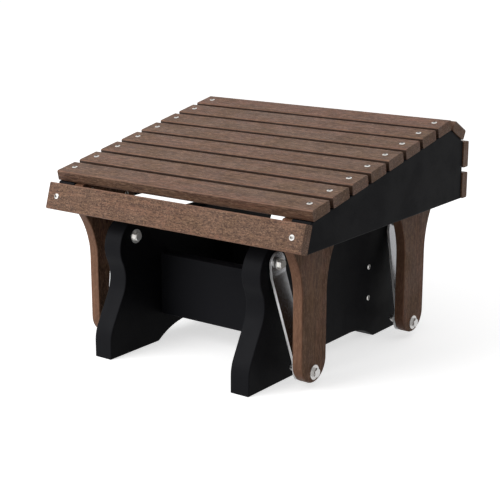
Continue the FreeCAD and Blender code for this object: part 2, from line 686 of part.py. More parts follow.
def passes(edge, points):
    """True where a straight edge along Y stands at one of the (x, z) points."""
    box = edge.BoundBox
    if box.XLength > SAME or box.ZLength > SAME:
        return False
    return any(hypot(box.XMin - x, box.ZMin - z) < SAME for x, z in points)


def pivot_points(end):
    """Y and Z of an arm's upper and lower pivot."""
    return (
        (f"Places.middle_y + {end} * Places.upper_half", "Sizes.upper_pivot_height"),
        (f"Places.middle_y + {end} * Places.lower_half", "Sizes.lower_pivot_height"),
    )


def ring(name, outer_radius, inner_radius, length):
    """A plain ring that stands on the origin along +Z."""
    outside = doc.addObject("Part::Cylinder", f"{name}_outside")
    outside.setExpression("Radius", outer_radius)
    outside.setExpression("Height", length)
    bore = drill("0", "0", f"-{THROUGH}", inner_radius, f"{length} + {2 * THROUGH}")
    cut = doc.addObject("Part::Cut", name)
    cut.Base = outside
    cut.Tool = bore
    return cut


def bushing(name, bore_radius, collar_length):
    """A flanged bushing: the spigot fills the arm's hole and the collar stands off its outer face."""
    spigot = doc.addObject("Part::Cylinder", f"{name}_spigot")
    spigot.setExpression("Radius", "Sizes.spigot_diameter / 2")
    spigot.setExpression("Height", f"Sizes.arm_thickness + {collar_length}")
    collar = doc.addObject("Part::Cylinder", f"{name}_collar")
    collar.setExpression("Radius", "Sizes.bushing_diameter / 2")
    collar.setExpression("Height", collar_length)
    collar.setExpression("Placement.Base.z", "Sizes.arm_thickness")
    blank = doc.addObject("Part::Fuse", f"{name}_blank")
    blank.Base = spigot
    blank.Tool = collar
    cut = doc.addObject("Part::Cut", name)
    cut.Base = blank
    length = f"Sizes.arm_thickness + {collar_length} + {2 * THROUGH}"
    cut.Tool = drill("0", "0", f"-{THROUGH}", bore_radius, length)
    return cut


def hexagon(name, height):
    """A hexagonal prism with its upper corners eased, standing on the origin along +Z."""
    prism = doc.addObject("Part::Prism", f"{name}_prism")
    prism.Polygon = 6
    prism.setExpression("Circumradius", "Places.hex_corner_radius")
    prism.setExpression("Height", height)
    cone = doc.addObject("Part::Cone", f"{name}_cone")
    cone.setExpression("Radius1", f"Places.hex_corner_radius + {height}")
    cone.setExpression("Radius2", "Sizes.hex_across_flats / 2")
    cone.setExpression("Height", height)
    eased = doc.addObject("Part::Common", name)
    eased.Base = prism
    eased.Tool = cone
    return eased


def pivot_bolt(name, length):
    """A hex bolt: the head rises from the origin and the shank runs down."""
    shank = doc.addObject("Part::Cylinder", f"{name}_shank")
    shank.setExpression("Radius", "Sizes.pivot_bolt_diameter / 2")
    shank.setExpression("Height", length)
    shank.setExpression("Placement.Base.z", f"-{length}")
    bolt = doc.addObject("Part::Fuse", name)
    bolt.Base = hexagon(f"{name}_head", "Sizes.hex_head_height")
    bolt.Tool = shank
    return bolt


def lock_nut(name):
    """A lock nut: hexagon below, round collar above, bored for the bolt."""
    body = doc.addObject("Part::Fuse", f"{name}_blank")
    body.Base = hexagon(f"{name}_hexagon", "Places.nut_hex_height")
    collar = doc.addObject("Part::Cylinder", f"{name}_collar")
    collar.setExpression("Radius", "Sizes.lock_nut_collar_diameter / 2")
    collar.setExpression("Height", "Sizes.lock_nut_height")
    body.Tool = collar
    nut = doc.addObject("Part::Cut", name)
    nut.Base = body
    length = f"Sizes.lock_nut_height + {2 * THROUGH}"
    nut.Tool = drill("0", "0", f"-{THROUGH}", "Places.bolt_hole_radius", length)
    return nut


def wood_screw(name, length):
    """A pan head screw: low dome with a square socket above the origin, shank below."""
    dome = doc.addObject("Part::Sphere", f"{name}_dome")
    dome.setExpression("Radius", "Places.dome_radius")
    dome.setExpression("Placement.Base.z", "Sizes.screw_head_height - Places.dome_radius")
    shank = doc.addObject("Part::Cylinder", f"{name}_shank")
    shank.setExpression("Radius", "Sizes.screw_diameter / 2")
    shank.setExpression("Height", length)
    shank.setExpression("Placement.Base.z", f"-{length}")
    band = doc.addObject("Part::Cylinder", f"{name}_band")
    band.setExpression("Radius", "Sizes.screw_head_diameter / 2")
    band.setExpression("Height", "Sizes.screw_head_height")
    head = doc.addObject("Part::Common", f"{name}_head")
    head.Base = dome
    head.Tool = band
    whole = doc.addObject("Part::Fuse", f"{name}_whole")
    whole.Base = head
    whole.Tool = shank
    socket = doc.addObject("Part::Box", f"{name}_socket")
    for side in ("Length", "Width"):
        socket.setExpression(side, "Sizes.screw_socket_width")
    socket.setExpression("Height", "Sizes.screw_head_height")
    for axis in "xy":
        socket.setExpression(f"Placement.Base.{axis}", "-Sizes.screw_socket_width / 2")
    socket.setExpression("Placement.Base.z", "Sizes.screw_head_height - Sizes.screw_socket_depth")
    screw = doc.addObject("Part::Cut", name)
    screw.Base = whole
    screw.Tool = socket
    return screw


def facing(feature, x, y, z, side):
    """Places a turned piece so that its own +Z points to the right for side 1, left for -1."""
    spin = f"rotation(vector(0; 1; 0); {side * 90})"
    feature.setExpression("Placement", f"placement(vector({x}; {y}; {z}); {spin})")
    return feature


def make_board_screws(boards):
    """The screws that hold the boards to both side rails, in three named groups."""
    screw = wood_screw("board_screw", "Sizes.screw_length")
    for kind in ("seat_slat", "front_apron", "back_slat"):
        links = []
        for board in boards:
            if board[0].startswith(kind):
                y, z = board_point(board, "0")
                for _, side in SIDES:
                    links.append(placed(copy_of(screw), f"{side} * Places.rail_middle", y, z, board[3]))
        group(f"{kind}_screws", links)


def make_leg_screws():
    """The screws driven from inside through the hanger legs into the side rails."""
    screw = wood_screw("leg_screw", "Sizes.leg_screw_length")
    links = []
    for _, side in SIDES:
        for y, z in leg_screw_points():
            links.append(facing(copy_of(screw), f"{side} * Places.leg_inner", y, z, -side))
    group("hanger_leg_screws", links)


def make_stretcher_screws():
    """The long screws driven through the base panels into the ends of the stretchers."""
    screw = wood_screw("long_screw", "Sizes.stretcher_screw_length")
    links = []
    for _, side in SIDES:
        for y, z in stretcher_screw_points():
            links.append(facing(copy_of(screw), f"{side} * Places.panel_outer", y, z, side))
    group("stretcher_screws", links)


def make_pivot_hardware():
    """Bolts, washers and lock nuts of the upper and lower pivots, each kind in one group."""
    hole = "Places.bolt_hole_radius"
    thickness = "Sizes.washer_thickness"
    small = ring("small_washer", "Sizes.small_washer_diameter / 2", hole, thickness)
    large = ring("large_washer", "Sizes.large_washer_diameter / 2", hole, thickness)
    nut = lock_nut("pivot_nut")
    upper_bolt = pivot_bolt("upper_bolt", "Places.upper_bolt_length")
    lower_bolt = pivot_bolt("lower_bolt", "Places.lower_bolt_length")
    outer = "Places.upper_outer_seat"
    inner = "Places.upper_inner_seat"
    # Name, sides, level, template, X of the seat, and 1 where the piece's own +Z points outwards.
    # The upper bolts are all put in from the right: their heads are outside there and inside on the left.
    stacks = (
        ("upper_pivot_bolts", (RIGHT,), 0, upper_bolt, outer, 1),
        ("upper_pivot_bolts", (LEFT,), 0, upper_bolt, inner, -1),
        ("upper_head_washers", (RIGHT,), 0, small, f"{outer} - {thickness}", 1),
        ("upper_head_washers", (LEFT,), 0, large, inner, 1),
        ("upper_thrust_washers", (LEFT, RIGHT), 0, large, "Places.panel_outer", 1),
        ("upper_nut_washers", (RIGHT,), 0, large, inner, 1),
        ("upper_nut_washers", (LEFT,), 0, small, f"{outer} - {thickness}", 1),
        ("upper_lock_nuts", (RIGHT,), 0, nut, inner, -1),
        ("upper_lock_nuts", (LEFT,), 0, nut, outer, 1),
        ("lower_pivot_bolts", (LEFT, RIGHT), 1, lower_bolt, "Places.lower_head_seat", 1),
        ("lower_head_washers", (LEFT, RIGHT), 1, large, "Places.leg_outer", 1),
        ("lower_nut_washers", (LEFT, RIGHT), 1, small, "Places.lower_nut_seat", 1),
        ("lower_lock_nuts", (LEFT, RIGHT), 1, nut, "Places.lower_nut_seat", -1),
    )
    links = {}
    for label, sides, level, template, seat, outwards in stacks:
        for side in sides:
            for _, end in ENDS:
                y, z = pivot_points(end)[level]
                piece = facing(copy_of(template), f"{side} * ({seat})", y, z, side * outwards)
                links.setdefault(label, []).append(piece)
    for label, pieces in links.items():
        group(label, pieces)


def make_bushings():
    """Both bushings of every arm; the lower ones of the rear arms have a wider bore."""
    upper = bushing("upper_bushing", "Places.bolt_hole_radius", "Sizes.upper_bushing_length")
    snug = bushing("snug_bushing", "Places.bolt_hole_radius", "Sizes.lower_bushing_length")
    loose = bushing("loose_bushing", "Places.open_bore_radius", "Sizes.lower_bushing_length")
    for side_name, side in SIDES:
        for end_name, end in ENDS:
            lower = loose if end == REAR else snug
            upper_point, lower_point = pivot_points(end)
            group(f"arm_bushings_{end_name}_{side_name}", [
                facing(copy_of(upper), f"{side} * Places.arm_upper_inner", *upper_point, side),
                facing(copy_of(lower), f"{side} * Places.arm_lower_inner", *lower_point, side),
            ])


def build():
    """Every sub-part of the glider ottoman."""
    boards = seat_boards()
    for board in boards:
        make_board(board)
    for side_name, side in SIDES:
        make_rail(f"side_rail_{side_name}", side, boards)
        make_panel(f"base_panel_{side_name}", side)
        for end_name, end in ENDS:
            make_leg(end_name, end, side_name, side)
            make_arm(end_name, end, side_name, side)
    for end_name, end in ENDS:
        make_stretcher(end_name, end)
    make_bushings()
    make_pivot_hardware()
    make_board_screws(boards)
    make_leg_screws()
    make_stretcher_screws()


def check():
    """Stops where a feature failed or a sub-part has no valid solid."""
    doc.recompute()
    for item in doc.Objects:
        if "Invalid" in item.State or "Error" in item.State:
            raise RuntimeError(f"{item.Label} failed: {item.State}")
    for label, feature in parts.items():
        if feature.Shape.isNull() or not feature.Shape.isValid() or not feature.Shape.Solids:
            raise RuntimeError(f"{label} has no valid solid")


def export():
    """Writes every sub-part under its own name."""
    os.makedirs("parts", exist_ok=True)
    for label, feature in parts.items():
        feature.Shape.exportStep(f"parts/{label}.step")


build()
check()
export()
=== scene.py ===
import math

import bpy
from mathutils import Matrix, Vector

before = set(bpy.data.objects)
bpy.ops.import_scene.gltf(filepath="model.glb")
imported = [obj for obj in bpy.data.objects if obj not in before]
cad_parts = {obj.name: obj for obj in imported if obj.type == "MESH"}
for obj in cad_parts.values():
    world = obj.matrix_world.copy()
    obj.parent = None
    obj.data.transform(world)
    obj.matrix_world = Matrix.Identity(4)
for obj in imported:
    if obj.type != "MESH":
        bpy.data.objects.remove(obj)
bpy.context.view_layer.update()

FLOAT = "NodeSocketFloat"
VECTOR = "NodeSocketVector"

# The boards, in the order that they are laid from the front edge of the seat to its low back edge.
SEAT_SLATS = tuple(f"seat_slat_{number}" for number in range(1, 9))
BACK_SLATS = ("back_slat_slanted", "back_slat_upper", "back_slat_lower")
SIDE_RAILS = ("side_rail_left", "side_rail_right")
BASE_PANELS = ("base_panel_left", "base_panel_right")
STRETCHERS = ("stretcher_front", "stretcher_rear")

# The pieces that stand at each of the four corners.
CORNERS = tuple(f"{end}_{side}" for end in ("front", "rear") for side in ("left", "right"))
HANGER_LEGS = tuple(f"hanger_leg_{corner}" for corner in CORNERS)
SWING_ARMS = tuple(f"swing_arm_{corner}" for corner in CORNERS)
ARM_BUSHINGS = tuple(f"arm_bushings_{corner}" for corner in CORNERS)
LOWER_HARDWARE = ("lower_pivot_bolts", "lower_head_washers", "lower_nut_washers", "lower_lock_nuts")
UPPER_HARDWARE = (
    "upper_pivot_bolts", "upper_head_washers", "upper_thrust_washers", "upper_nut_washers",
    "upper_lock_nuts",
)

# Lean of each board about X, in degrees, from lying flat.
SEAT_SLOPE = 10.8
APRON_LEAN = 90.0 - 17.5
CREST_LEAN = -52.0
UPRIGHT = 90.0

# The screws of the boards, each with the lean of the board that it is driven into.
SCREW_LEANS = {
    "seat_slat_screws": SEAT_SLOPE,
    "front_apron_screws": APRON_LEAN,
    "back_slat_screws": UPRIGHT,
    "hanger_leg_screws": 0.0,
    "stretcher_screws": 0.0,
}

# Colours, linear.
BROWN_GROUND = (0.212, 0.112, 0.066, 1.0)
BROWN_DARK = (0.062, 0.028, 0.016, 1.0)
# Painted shade: the dark brown of the slats' narrow sides, standing in for the shade in the gaps between
# them.
BROWN_PAINTED_SHADE = (0.020, 0.009, 0.005, 1.0)
BROWN_RED = (0.250, 0.104, 0.063, 1.0)
BROWN_OLIVE = (0.165, 0.106, 0.058, 1.0)
BROWN_FLECK = (0.400, 0.240, 0.150, 1.0)
# Lighter brown: rubbed wear and a painted highlight on eased edges, and painted light on the legs' narrow
# sides.
BROWN_WORN_AND_PAINTED_LIGHT = (0.330, 0.170, 0.112, 1.0)
BLACK_GROUND = (0.0034, 0.0034, 0.0044, 1.0)
BLACK_PALE = (0.0075, 0.0076, 0.0088, 1.0)
# Paler black: real dust, and painted light on the narrow sides and eased edges.
BLACK_DUST_AND_PAINTED_LIGHT = (0.0150, 0.0152, 0.0175, 1.0)
STEEL_BROAD = (0.30, 0.30, 0.31, 1.0)
STEEL_EDGE_PAINTED_HIGHLIGHT = (0.98, 0.98, 0.98, 1.0)
STEEL_DULL = (0.42, 0.42, 0.43, 1.0)
STEEL_PLATED = (0.60, 0.59, 0.58, 1.0)
STEEL_PAINTED_SOCKET_SHADE = (0.20, 0.19, 0.18, 1.0)
STEEL_SCREW = (0.92, 0.91, 0.88, 1.0)
NYLON_WHITE = (0.74, 0.73, 0.70, 1.0)
NYLON_STAINED = (0.52, 0.50, 0.46, 1.0)


# Node trees

def link_or_set(tree, socket, value):
    """Links another node's output to the socket, or writes a plain value on it."""
    if isinstance(value, bpy.types.NodeSocket):
        tree.links.new(value, socket)
    else:
        socket.default_value = value


def node(tree, kind, inputs=None, **settings):
    """A shader node. inputs gives its sockets, by name or number, plain values or other nodes' outputs."""
    made = tree.nodes.new("ShaderNode" + kind)
    for setting, value in settings.items():
        setattr(made, setting, value)
    for socket, value in (inputs or {}).items():
        link_or_set(tree, made.inputs[socket], value)
    return made


def math_node(tree, operation, *values):
    return node(tree, "Math", dict(enumerate(values)), operation=operation).outputs[0]


def vector_math(tree, operation, *values):
    return node(tree, "VectorMath", dict(enumerate(values)), operation=operation).outputs[0]


def spread(tree, value, low, high, to_low=0.0, to_high=1.0):
    """The value from low to high, spread smoothly over to_low to to_high."""
    inputs = {"Value": value, "From Min": low, "From Max": high, "To Min": to_low, "To Max": to_high}
    return node(tree, "MapRange", inputs, interpolation_type="SMOOTHSTEP").outputs[0]


# Numbers of the Mix node's sockets: it has a set for each kind of value, and names them alike.
MIX_FACTOR = 0
MIX_VECTORS = (4, 5)
MIX_VECTOR_RESULT = 1
MIX_COLORS = (6, 7)
MIX_COLOR_RESULT = 2


def mixed(tree, factor, first, second):
    """The first colour going over to the second one as the factor rises to 1."""
    inputs = {MIX_FACTOR: factor, MIX_COLORS[0]: first, MIX_COLORS[1]: second}
    return node(tree, "Mix", inputs, data_type="RGBA").outputs[MIX_COLOR_RESULT]


def tinted(tree, color, mask, share, tint):
    """The colour with this share of the tint where the mask is 1."""
    return mixed(tree, math_node(tree, "MULTIPLY", mask, share), color, tint)


def noise(tree, place, scales, detail=3.0, roughness=0.5, distortion=0.0):
    """Noise with its own scale along each axis: features for each unit of the place that it is given."""
    stretched = vector_math(tree, "MULTIPLY", place, scales)
    inputs = {
        "Vector": stretched, "Scale": 1.0,
        "Detail": detail, "Roughness": roughness, "Distortion": distortion,
    }
    return node(tree, "TexNoise", inputs).outputs[0]


def effect(name, inputs, outputs):
    """An empty node group with named sockets; returns it, what it is given and where its results go."""
    tree = bpy.data.node_groups.new(name, "ShaderNodeTree")
    for label, (kind, value) in inputs.items():
        socket = tree.interface.new_socket(label, in_out="INPUT", socket_type=kind)
        socket.default_value = value
    for label, kind in outputs.items():
        tree.interface.new_socket(label, in_out="OUTPUT", socket_type=kind)
    start = tree.nodes.new("NodeGroupInput")
    end = tree.nodes.new("NodeGroupOutput")
    return tree, start.outputs, end.inputs


def placed_effect(tree, effect_tree, inputs):
    """An effect placed in a material with the material's own values; returns its outputs."""
    made = tree.nodes.new("ShaderNodeGroup")
    made.node_tree = effect_tree
    for label, value in inputs.items():
        link_or_set(tree, made.inputs[label], value)
    return made.outputs


# Effects that several materials use

# How far apart the grain of two boards in a row is taken, in metres along each axis.
GRAIN_STEPS = (0.731, 0.257, 0.119)

# Features of the pressed grain per metre: along the board, and across it.
STREAK_SCALES = (10.0, 150.0, 150.0)
DASH_SCALES = (150.0, 430.0, 430.0)
FIBRE_SCALES = (60.0, 1500.0, 1500.0)
PATCH_SCALES = (9.0, 24.0, 24.0)
FLECK_SCALES = (300.0, 480.0, 480.0)

# Share of each kind of feature in the grain's relief.
DASH_RELIEF = 0.6
FIBRE_RELIEF = 0.3
STREAK_RELIEF = 0.5

# The largest part of the surface's direction along one of a board's own axes: 1 on its flat faces.
EDGE_BEGINS = 0.985
EDGE_FULL = 0.86

# The wear's dust is this much finer than its clouds.
DUST_SCALES = (26.0, 26.0, 26.0)

# Smears on the steel, per metre.
SMEAR_SCALES = (45.0, 45.0, 45.0)


def make_grain_place():
    """Turns the coordinates so that X runs along the grain, and moves each board to its own part of it."""
    tree, given, out = effect(
        "Grain Place",
        {"Place": (VECTOR, (0.0, 0.0, 0.0)), "Board": (FLOAT, 0.0), "Upright": (FLOAT, 0.0)},
        {"Place": VECTOR},
    )
    parts = node(tree, "SeparateXYZ", {0: given["Place"]}).outputs
    turned = node(tree, "CombineXYZ", {0: parts[2], 1: parts[1], 2: parts[0]}).outputs[0]
    choices = {MIX_FACTOR: given["Upright"], MIX_VECTORS[0]: given["Place"], MIX_VECTORS[1]: turned}
    chosen = node(tree, "Mix", choices, data_type="VECTOR").outputs[MIX_VECTOR_RESULT]
    steps = [math_node(tree, "MULTIPLY", given["Board"], step) for step in GRAIN_STEPS]
    offset = node(tree, "CombineXYZ", dict(enumerate(steps))).outputs[0]
    tree.links.new(vector_math(tree, "ADD", chosen, offset), out["Place"])
    return tree


def make_pressed_grain():
    """Wood grain pressed into plastic lumber: long streaks, short dashes and fine fibres along X."""
    tree, given, out = effect(
        "Pressed Grain",
        {"Place": (VECTOR, (0.0, 0.0, 0.0))},
        {"Streaks": FLOAT, "Dashes": FLOAT, "Patches": FLOAT, "Flecks": FLOAT, "Height": FLOAT},
    )
    place = given["Place"]
    streaks = noise(tree, place, STREAK_SCALES, 4.0, 0.65, 0.6)
    dashes = noise(tree, place, DASH_SCALES, 3.0, 0.7, 0.4)
    fibres = noise(tree, place, FIBRE_SCALES, 2.0, 0.5)
    patches = noise(tree, place, PATCH_SCALES, 2.0, 0.5)
    flecks = noise(tree, place, FLECK_SCALES, 2.0, 0.6)
    tree.links.new(spread(tree, streaks, 0.42, 0.62), out["Streaks"])
    tree.links.new(spread(tree, dashes, 0.47, 0.56), out["Dashes"])
    tree.links.new(spread(tree, patches, 0.42, 0.62), out["Patches"])
    tree.links.new(spread(tree, flecks, 0.54, 0.62), out["Flecks"])
    dash_height = math_node(tree, "MULTIPLY", dashes, DASH_RELIEF)
    fibre_height = math_node(tree, "MULTIPLY", fibres, FIBRE_RELIEF)
    fine_height = math_node(tree, "ADD", dash_height, fibre_height)
    height = math_node(tree, "ADD", fine_height, math_node(tree, "MULTIPLY", streaks, STREAK_RELIEF))
    tree.links.new(height, out["Height"])
    return tree


def make_eased_edge():
    """1 on a board's eased edges, where it faces between its own axes, and 1 on its narrow long sides."""
    tree, given, out = effect(
        "Eased Edge",
        {"Facing": (VECTOR, (0.0, 0.0, 1.0)), "Lean": (FLOAT, 0.0)},
        {"Mask": FLOAT, "Narrow Sides": FLOAT},
    )
    turn = {"Vector": given["Facing"], "Angle": given["Lean"]}
    level = node(tree, "VectorRotate", turn, rotation_type="X_AXIS", invert=True)
    parts = node(tree, "SeparateXYZ", {0: vector_math(tree, "ABSOLUTE", level.outputs[0])}).outputs
    largest = math_node(tree, "MAXIMUM", math_node(tree, "MAXIMUM", parts[0], parts[1]), parts[2])
    tree.links.new(spread(tree, largest, EDGE_BEGINS, EDGE_FULL), out["Mask"])
    tree.links.new(spread(tree, parts[1], 0.75, 0.95), out["Narrow Sides"])
    return tree


def make_handling_wear():
    """Faint rubbed clouds, larger than the grain, and fine dust."""
    tree, given, out = effect(
        "Handling Wear",
        {"Place": (VECTOR, (0.0, 0.0, 0.0)), "Size": (FLOAT, 30.0)},
        {"Clouds": FLOAT, "Dust": FLOAT},
    )
    sizing = {0: given["Place"], "Scale": given["Size"]}
    sized = node(tree, "VectorMath", sizing, operation="SCALE").outputs[0]
    clouds = noise(tree, sized, (1.0, 1.0, 1.0), 4.0, 0.6)
    dust = noise(tree, sized, DUST_SCALES, 2.0, 0.6)
    tree.links.new(spread(tree, clouds, 0.35, 0.70), out["Clouds"])
    tree.links.new(spread(tree, dust, 0.56, 0.78), out["Dust"])
    return tree


def make_metal_marks():
    """Fine drawn lines and soft smears on bare steel."""
    tree, given, out = effect(
        "Metal Marks",
        {"Place": (VECTOR, (0.0, 0.0, 0.0)), "Lines": (VECTOR, (3000.0, 3000.0, 60.0))},
        {"Lines": FLOAT, "Smears": FLOAT},
    )
    lines = noise(tree, given["Place"], given["Lines"], 2.0, 0.6)
    smears = noise(tree, given["Place"], SMEAR_SCALES, 4.0, 0.6)
    tree.links.new(spread(tree, lines, 0.30, 0.70), out["Lines"])
    tree.links.new(spread(tree, smears, 0.35, 0.70), out["Smears"])
    return tree


GRAIN_PLACE = make_grain_place()
PRESSED_GRAIN = make_pressed_grain()
EASED_EDGE = make_eased_edge()
HANDLING_WEAR = make_handling_wear()
METAL_MARKS = make_metal_marks()


# Materials

# Shares of each tint in the brown boards, where its mask is 1.
OLIVE_SHARE = 0.45
STREAK_SHARE = 0.50
FLECK_SHARE = 0.6
BROWN_EDGE_SHARE = 0.45

# Shares of each tint in the black boards.
DASH_SHARE = 0.35
DUST_SHARE = 0.15
BLACK_PAINTED_SIDE_LIGHT_SHARE = 0.65
BLACK_EDGE_SHARE = 0.6

# Specular levels. They are lower than bare plastic's, so that the boards look as matt as in the photograph.
BROWN_GLOSS = 0.24
LEG_GLOSS = 0.12
BLACK_GLOSS = 0.04

# Depth of each surface's relief, in metres.
BROWN_RELIEF = 0.0012
BLACK_RELIEF = 0.00010
ARM_RELIEF = 0.00001
FASTENER_RELIEF = 0.00002
NYLON_RELIEF = 0.00004

# Clouds of wear per metre.
BROWN_CLOUDS = 24.0
BLACK_CLOUDS = 18.0
NYLON_CLOUDS = 90.0

# Lines in the steel per metre along X, Y and Z: drawn along the upright arms, and alike each way elsewhere.
ARM_LINES = (2600.0, 2600.0, 40.0)
SCREW_LINES = (1200.0, 1200.0, 1200.0)
BOLT_LINES = (900.0, 900.0, 900.0)


def new_material(name):
    """An empty material; returns it with its tree, its surface shader and the object's own coordinates."""
    material = bpy.data.materials.new(name)
    material.use_nodes = True
    tree = material.node_tree
    shader = tree.nodes["Principled BSDF"]
    coordinates = tree.nodes.new("ShaderNodeTexCoord")
    return material, tree, shader, coordinates.outputs


def bumped(tree, shader, height, depth):
    """Gives the surface relief of this depth in metres."""
    bump = node(tree, "Bump", {"Height": height, "Distance": depth, "Strength": 1.0})
    tree.links.new(bump.outputs[0], shader.inputs["Normal"])


def shaded(color, painted_light_factor):
    """The colour made lighter or darker by a factor, as opaque as before: the painted light of a board."""
    return tuple(channel * painted_light_factor for channel in color[:3]) + (1.0,)


def grain_place(tree, where, board, upright):
    """The board's own place in the grain."""
    inputs = {"Place": where["Object"], "Board": board, "Upright": upright}
    return placed_effect(tree, GRAIN_PLACE, inputs)["Place"]


def brown_lumber(name, board, lean=0.0, upright=0.0, redness=0.35, speckle=0.5, painted_light_factor=1.0, length=1.0,
                 gloss=BROWN_GLOSS, painted_side_light=0.0, painted_side_color=BROWN_PAINTED_SHADE):
    """Brown plastic lumber with pressed grain, reddish and olive patches and pale flecks; its eased edges
    are lighter, as rubbed wear and as a painted highlight, its narrow sides carry painted shade on the slats
    and painted light on the legs, and its brightness factor is painted light.
    """
    material, tree, shader, where = new_material(name)
    place = grain_place(tree, where, board, upright)
    stretched = vector_math(tree, "MULTIPLY", place, (1.0 / length, 1.0, 1.0))
    grain = placed_effect(tree, PRESSED_GRAIN, {"Place": stretched})
    facing = placed_effect(tree, EASED_EDGE, {"Facing": where["Normal"], "Lean": math.radians(lean)})
    wear = placed_effect(tree, HANDLING_WEAR, {"Place": place, "Size": BROWN_CLOUDS})
    color = tinted(tree, shaded(BROWN_GROUND, painted_light_factor), grain["Patches"], redness, BROWN_RED)
    color = tinted(tree, color, wear["Clouds"], OLIVE_SHARE, BROWN_OLIVE)
    color = tinted(tree, color, grain["Streaks"], STREAK_SHARE, BROWN_DARK)
    color = tinted(tree, color, grain["Dashes"], speckle, BROWN_DARK)
    color = tinted(tree, color, grain["Flecks"], speckle * FLECK_SHARE, BROWN_FLECK)
    # Lighter eased edges: rubbed wear, and a painted highlight along the rounded edges.
    color = tinted(tree, color, facing["Mask"], BROWN_EDGE_SHARE, BROWN_WORN_AND_PAINTED_LIGHT)
    # Painted light on the narrow long sides: painted shade on the slats' sides in the gaps, painted light on
    # the legs' front sides.
    color = tinted(tree, color, facing["Narrow Sides"], painted_side_light, painted_side_color)
    tree.links.new(color, shader.inputs["Base Color"])
    rough = spread(tree, wear["Clouds"], 0.0, 1.0, 0.50, 0.60)
    rough = math_node(tree, "SUBTRACT", rough, math_node(tree, "MULTIPLY", facing["Mask"], 0.08))
    tree.links.new(rough, shader.inputs["Roughness"])
    shader.inputs["Specular IOR Level"].default_value = gloss
    bumped(tree, shader, grain["Height"], BROWN_RELIEF)
    return material


def black_lumber(name, board, upright=0.0, painted_light_factor=1.0):
    """Black plastic lumber: nearly smooth, with faint grain, a little dust, rubbed edges that are also a
    painted highlight, and narrow sides made paler as painted light.
    """
    material, tree, shader, where = new_material(name)
    place = grain_place(tree, where, board, upright)
    grain = placed_effect(tree, PRESSED_GRAIN, {"Place": place})
    facing = placed_effect(tree, EASED_EDGE, {"Facing": where["Normal"]})
    wear = placed_effect(tree, HANDLING_WEAR, {"Place": place, "Size": BLACK_CLOUDS})
    color = tinted(tree, shaded(BLACK_GROUND, painted_light_factor), grain["Dashes"], DASH_SHARE, BLACK_PALE)
    color = tinted(tree, color, wear["Dust"], DUST_SHARE, BLACK_DUST_AND_PAINTED_LIGHT)
    # Painted light: the narrow sides made paler.
    color = tinted(tree, color, facing["Narrow Sides"], BLACK_PAINTED_SIDE_LIGHT_SHARE, BLACK_DUST_AND_PAINTED_LIGHT)
    # Paler eased edges: rubbed wear, and a painted highlight along the rounded edges.
    color = tinted(tree, color, facing["Mask"], BLACK_EDGE_SHARE, BLACK_DUST_AND_PAINTED_LIGHT)
    tree.links.new(color, shader.inputs["Base Color"])
    tree.links.new(spread(tree, wear["Clouds"], 0.0, 1.0, 0.50, 0.58), shader.inputs["Roughness"])
    shader.inputs["Specular IOR Level"].default_value = BLACK_GLOSS
    bumped(tree, shader, grain["Height"], BLACK_RELIEF)
    return material


def arm_steel(name):
    """Bent flat bar: broad faces drawn along the bar and rather dark; sheared edges satin, and painted near
    white and less metallic as a painted highlight.
    """
    material, tree, shader, where = new_material(name)
    marks = placed_effect(tree, METAL_MARKS, {"Place": where["Object"], "Lines": ARM_LINES})
    broad = math_node(tree, "ABSOLUTE", node(tree, "SeparateXYZ", {0: where["Normal"]}).outputs[0])
    edge = spread(tree, broad, 0.75, 0.30)
    # The sheared edges go over to near white: a painted highlight.
    color = tinted(tree, mixed(tree, edge, STEEL_BROAD, STEEL_EDGE_PAINTED_HIGHLIGHT), marks["Smears"], 0.18, STEEL_DULL)
    tree.links.new(color, shader.inputs["Base Color"])
    tree.links.new(spread(tree, edge, 0.0, 1.0, 1.0, 0.35), shader.inputs["Metallic"])
    rough = math_node(tree, "ADD", math_node(tree, "MULTIPLY", marks["Lines"], 0.08), 0.20)
    rough = math_node(tree, "ADD", rough, math_node(tree, "MULTIPLY", edge, 0.28))
    tree.links.new(rough, shader.inputs["Roughness"])
    bumped(tree, shader, marks["Lines"], ARM_RELIEF)
    return material


def screw_steel(name, lean):
    """Bright screw heads: polished towards the rim; the flat faces in and around the socket in the middle
    are painted dark as painted shade.
    """
    material, tree, shader, where = new_material(name)
    marks = placed_effect(tree, METAL_MARKS, {"Place": where["Object"], "Lines": SCREW_LINES})
    facing = placed_effect(tree, EASED_EDGE, {"Facing": where["Normal"], "Lean": math.radians(lean)})
    # Painted shade: the flat faces of the head and its socket go dark.
    rim_and_painted_socket_shade = mixed(tree, facing["Mask"], STEEL_PAINTED_SOCKET_SHADE, STEEL_SCREW)
    color = tinted(tree, rim_and_painted_socket_shade, marks["Smears"], 0.15, STEEL_DULL)
    tree.links.new(color, shader.inputs["Base Color"])
    shader.inputs["Metallic"].default_value = 1.0
    tree.links.new(spread(tree, marks["Lines"], 0.0, 1.0, 0.26, 0.36), shader.inputs["Roughness"])
    bumped(tree, shader, marks["Lines"], FASTENER_RELIEF)
    return material


def bolt_steel(name, color, roughness):
    """Bare steel of bolts, nuts and washers, with fine lines and soft smears in its shine."""
    material, tree, shader, where = new_material(name)
    marks = placed_effect(tree, METAL_MARKS, {"Place": where["Object"], "Lines": BOLT_LINES})
    smeared = tinted(tree, color, marks["Smears"], 0.20, STEEL_DULL)
    tree.links.new(smeared, shader.inputs["Base Color"])
    shader.inputs["Metallic"].default_value = 1.0
    rough = math_node(tree, "ADD", math_node(tree, "MULTIPLY", marks["Lines"], 0.10), roughness)
    rough = math_node(tree, "ADD", rough, math_node(tree, "MULTIPLY", marks["Smears"], 0.08))
    tree.links.new(rough, shader.inputs["Roughness"])
    bumped(tree, shader, marks["Lines"], FASTENER_RELIEF)
    return material


